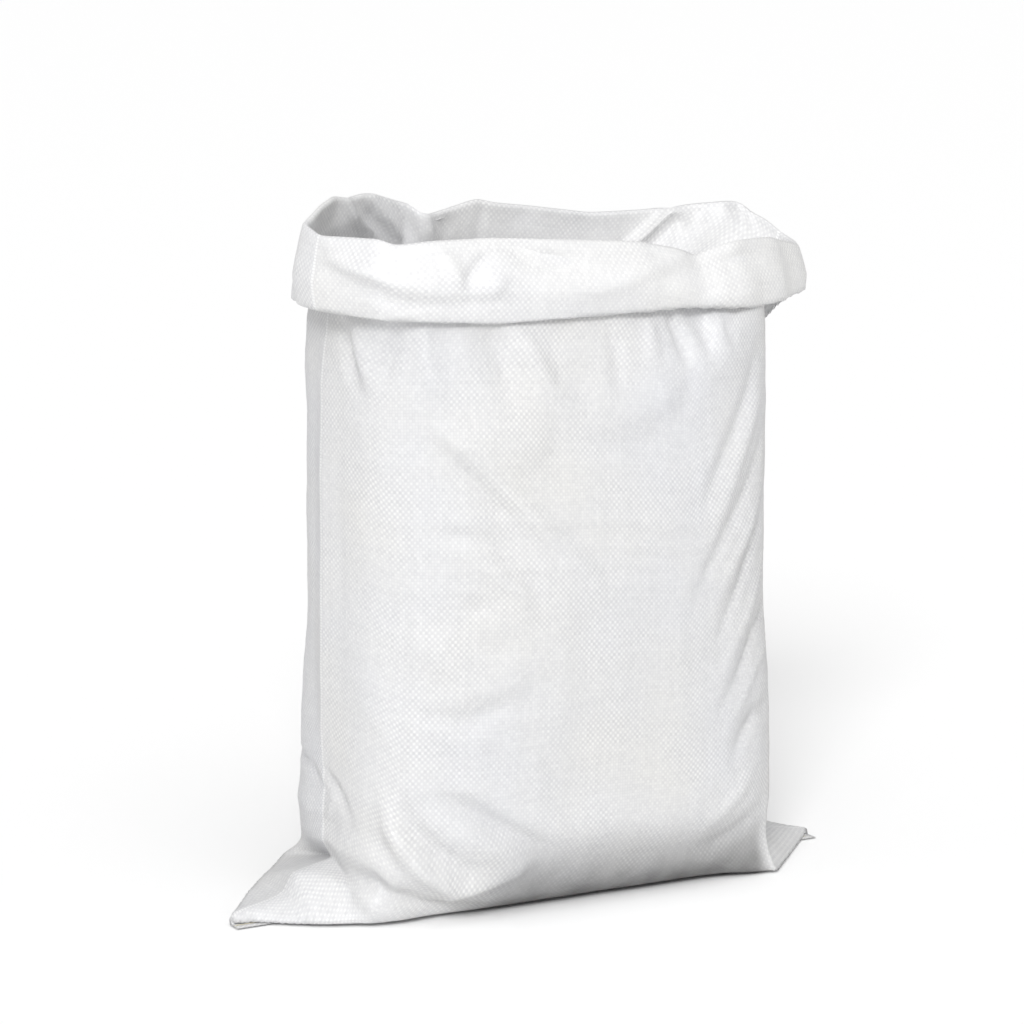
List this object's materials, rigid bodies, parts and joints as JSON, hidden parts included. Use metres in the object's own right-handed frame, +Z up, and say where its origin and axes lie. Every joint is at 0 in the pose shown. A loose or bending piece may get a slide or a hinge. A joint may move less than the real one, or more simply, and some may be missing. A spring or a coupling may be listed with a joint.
{
  "type": "woven polypropylene sack",
  "caption": "Open woven sack standing on a boxed base, its mouth turned down into a cuff, with a flat pointed ear at each bottom corner.",
  "frame": {"origin": "on the floor, under the middle of the sack's bounding box, midway between the tips of the two ears", "axes": "+X along the broad side to the right, -Y out of the front, +Z up to the open mouth"},
  "size_m": [0.557, 0.2288, 0.5586],
  "materials": {
    "woven_polypropylene": "plain-woven flat tapes, white, with a satin sheen",
    "sewing_thread": "twisted off-white sewing thread, matt"
  },
  "bodies": {
    "root": {"sack_body": "woven_polypropylene", "hem_thread": "sewing_thread"}
  },
  "joints": []
}
